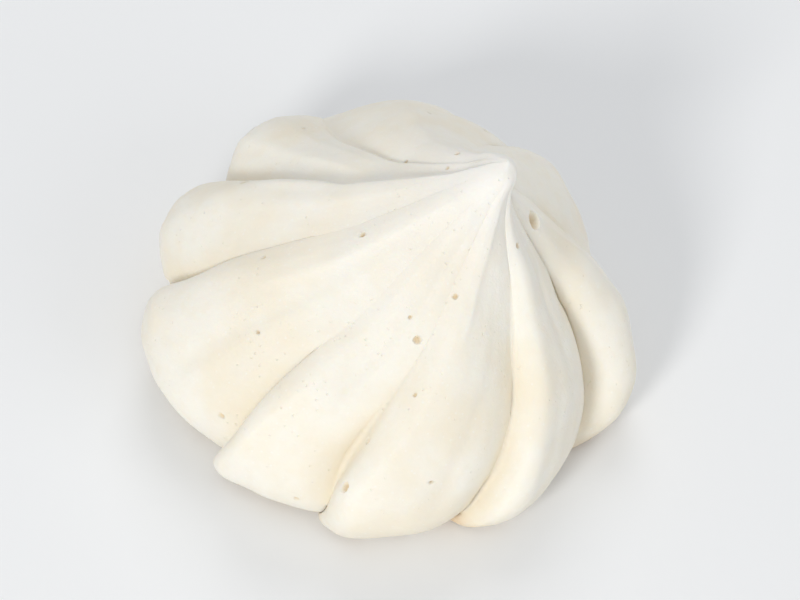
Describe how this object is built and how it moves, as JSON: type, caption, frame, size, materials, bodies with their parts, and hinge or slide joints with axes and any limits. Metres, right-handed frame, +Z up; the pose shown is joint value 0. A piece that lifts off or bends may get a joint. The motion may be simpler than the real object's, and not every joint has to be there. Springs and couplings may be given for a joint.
{
  "type": "meringue cookie",
  "caption": "Piped meringue cookie: a flat-footed swirl of soft lobes with tight creases between them, drawn up to a small tip that leans to one side.",
  "frame": {"origin": "on the surface that the flat foot rests on, at the middle of the cookie's box", "axes": "+Z up through the cookie's height; +X to the side that the tip leans to; -Y towards the side that is seen first"},
  "size_m": [0.049, 0.0516, 0.0336],
  "materials": {
    "meringue": "matte baked egg white and sugar, warm ivory, paler on the crests and tan underneath"
  },
  "bodies": {
    "root": {"meringue": "meringue"}
  },
  "joints": []
}
